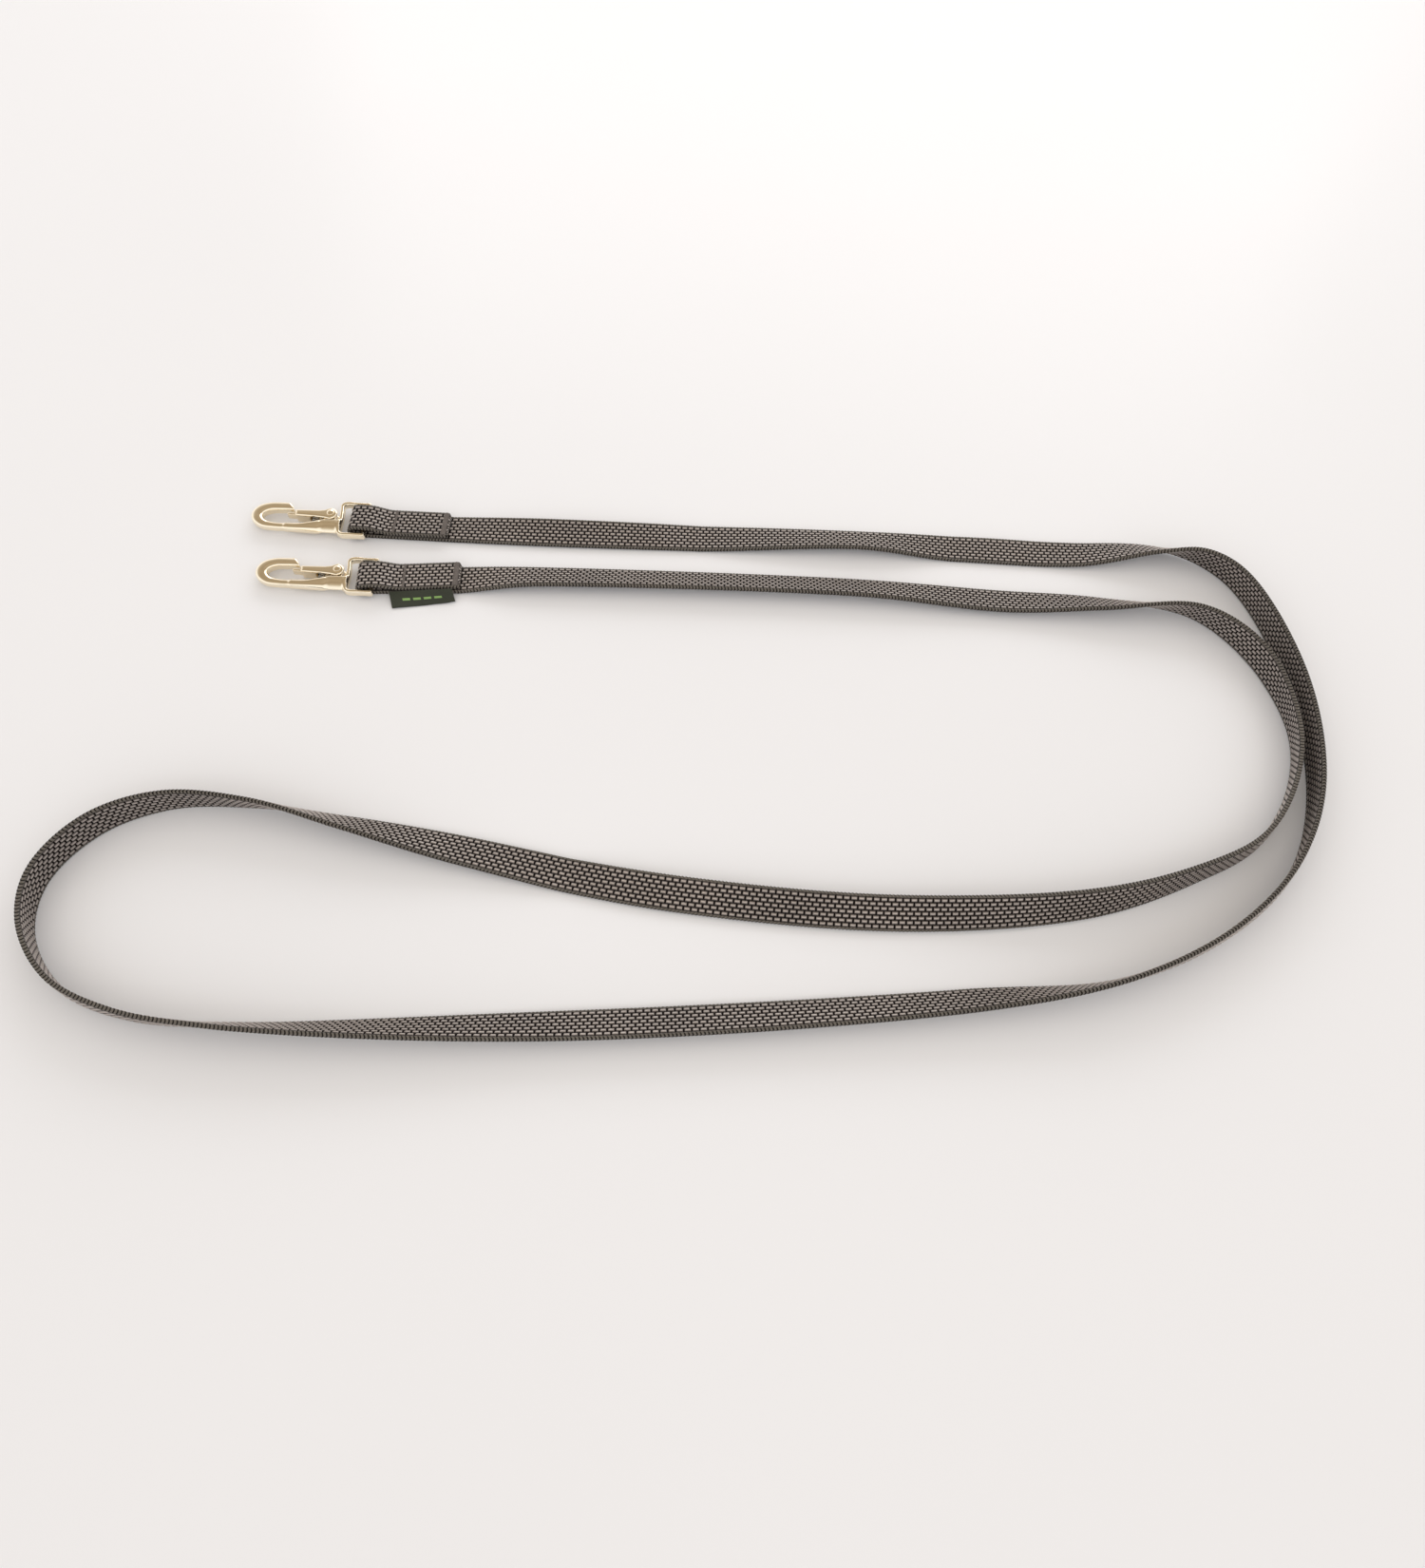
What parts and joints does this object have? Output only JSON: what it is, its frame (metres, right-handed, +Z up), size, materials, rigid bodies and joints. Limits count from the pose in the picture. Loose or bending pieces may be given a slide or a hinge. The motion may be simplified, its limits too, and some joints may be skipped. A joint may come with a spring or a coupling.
{
  "type": "training leash",
  "caption": "Flat rubberised webbing leash with a sprung snap hook sewn into each end, laid out in a long loop.",
  "frame": {"origin": "bottom centre of the box round the two snap hooks and their sewn ends, on the surface that the leash lies on", "axes": "+X along the hooks from nose to sewn end, +Y from hook b towards hook a, +Z up from the surface"},
  "size_m": [0.4537, 0.2269, 0.0131],
  "materials": {
    "hook_metal": "polished, pale gold",
    "gate_metal": "polished, pale gold",
    "pin_metal": "polished, pale gold",
    "spring_steel": "drawn wire",
    "webbing": "woven, rubber threads, taupe",
    "thread": "matt sewing thread",
    "label": "dark green woven tab"
  },
  "bodies": {
    "webbing": {"webbing_strap": "webbing", "sewn_fold_a": "webbing", "sewn_fold_b": "webbing", "tail_stitch_a": "thread", "tail_stitch_b": "thread", "eye_stitch_a": "thread", "eye_stitch_b": "thread", "label_tab": "label"},
    "hook_a": {"hook_body_a": "hook_metal", "gate_pin_a": "pin_metal", "gate_spring_a": "spring_steel"},
    "gate_a": {"gate_a": "gate_metal"},
    "hook_b": {"hook_body_b": "hook_metal", "gate_pin_b": "pin_metal", "gate_spring_b": "spring_steel"},
    "gate_b": {"gate_b": "gate_metal"}
  },
  "joints": [
    {"name": "hook_a_pivot", "type": "hinge", "parent": "webbing", "child": "hook_a", "pos_m": [0.00088, 0.01663, 0.0032], "axis": [0, 1, 0], "range_deg": [0, 110]},
    {"name": "gate_a_hinge", "type": "hinge", "parent": "hook_a", "child": "gate_a", "pos_m": [-0.01312, 0.01803, 0.0032], "axis": [0, 0, 1], "range_deg": [0, 11], "stiffness_Nm_per_rad": 0.03, "springref_deg": -28.65, "deforming": ["gate_spring_a"]},
    {"name": "hook_b_pivot", "type": "hinge", "parent": "webbing", "child": "hook_b", "pos_m": [0.0096, -0.0118, 0.0032], "axis": [-0.007, 1, 0], "range_deg": [0, 110]},
    {"name": "gate_b_hinge", "type": "hinge", "parent": "hook_b", "child": "gate_b", "pos_m": [-0.00441, -0.0105, 0.0032], "axis": [0, 0, 1], "range_deg": [0, 11], "stiffness_Nm_per_rad": 0.03, "springref_deg": -28.65, "deforming": ["gate_spring_b"]}
  ]
}
